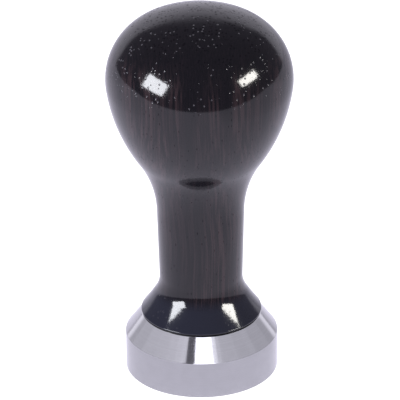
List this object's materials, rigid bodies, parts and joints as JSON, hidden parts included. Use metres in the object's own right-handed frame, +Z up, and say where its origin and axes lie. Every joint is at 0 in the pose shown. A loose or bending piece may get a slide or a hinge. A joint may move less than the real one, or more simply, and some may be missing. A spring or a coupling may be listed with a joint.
{
  "type": "espresso tamper",
  "caption": "Hand tamper for espresso: a round-knobbed turned wooden handle on a slim neck, screwed onto a solid stainless steel base with a flat sole.",
  "frame": {"origin": "middle of the flat sole of the base", "axes": "+Z points up the axis of the handle, from the sole to the top of the knob; +X and +Y are any pair square to it"},
  "size_m": [0.0496, 0.0496, 0.1036],
  "materials": {
    "stainless_steel": "fine turned, polished",
    "black_rubber": "matt",
    "lacquered_wood": "high gloss clear lacquer over dark open-pored wood",
    "brass": "machined",
    "plated_steel": "bright zinc plating"
  },
  "bodies": {
    "base": {"tamper_base": "stainless_steel"},
    "washer": {"rubber_washer": "black_rubber"},
    "handle": {"wooden_handle": "lacquered_wood", "threaded_insert": "brass", "threaded_stud": "plated_steel"}
  },
  "joints": [
    {"name": "handle_lift", "type": "slide", "parent": "base", "child": "washer", "axis": [0, 0, 1], "range_m": [0, 0.01064]},
    {"name": "handle_turn", "type": "hinge", "parent": "washer", "child": "handle", "pos_m": [0, 0, 0], "axis": [0, 0, 1], "range_deg": [0, 3060]}
  ],
  "couplings": [
    {"joint": "handle_lift", "follows": "handle_turn", "m_per_rad": 0.00019894}
  ]
}
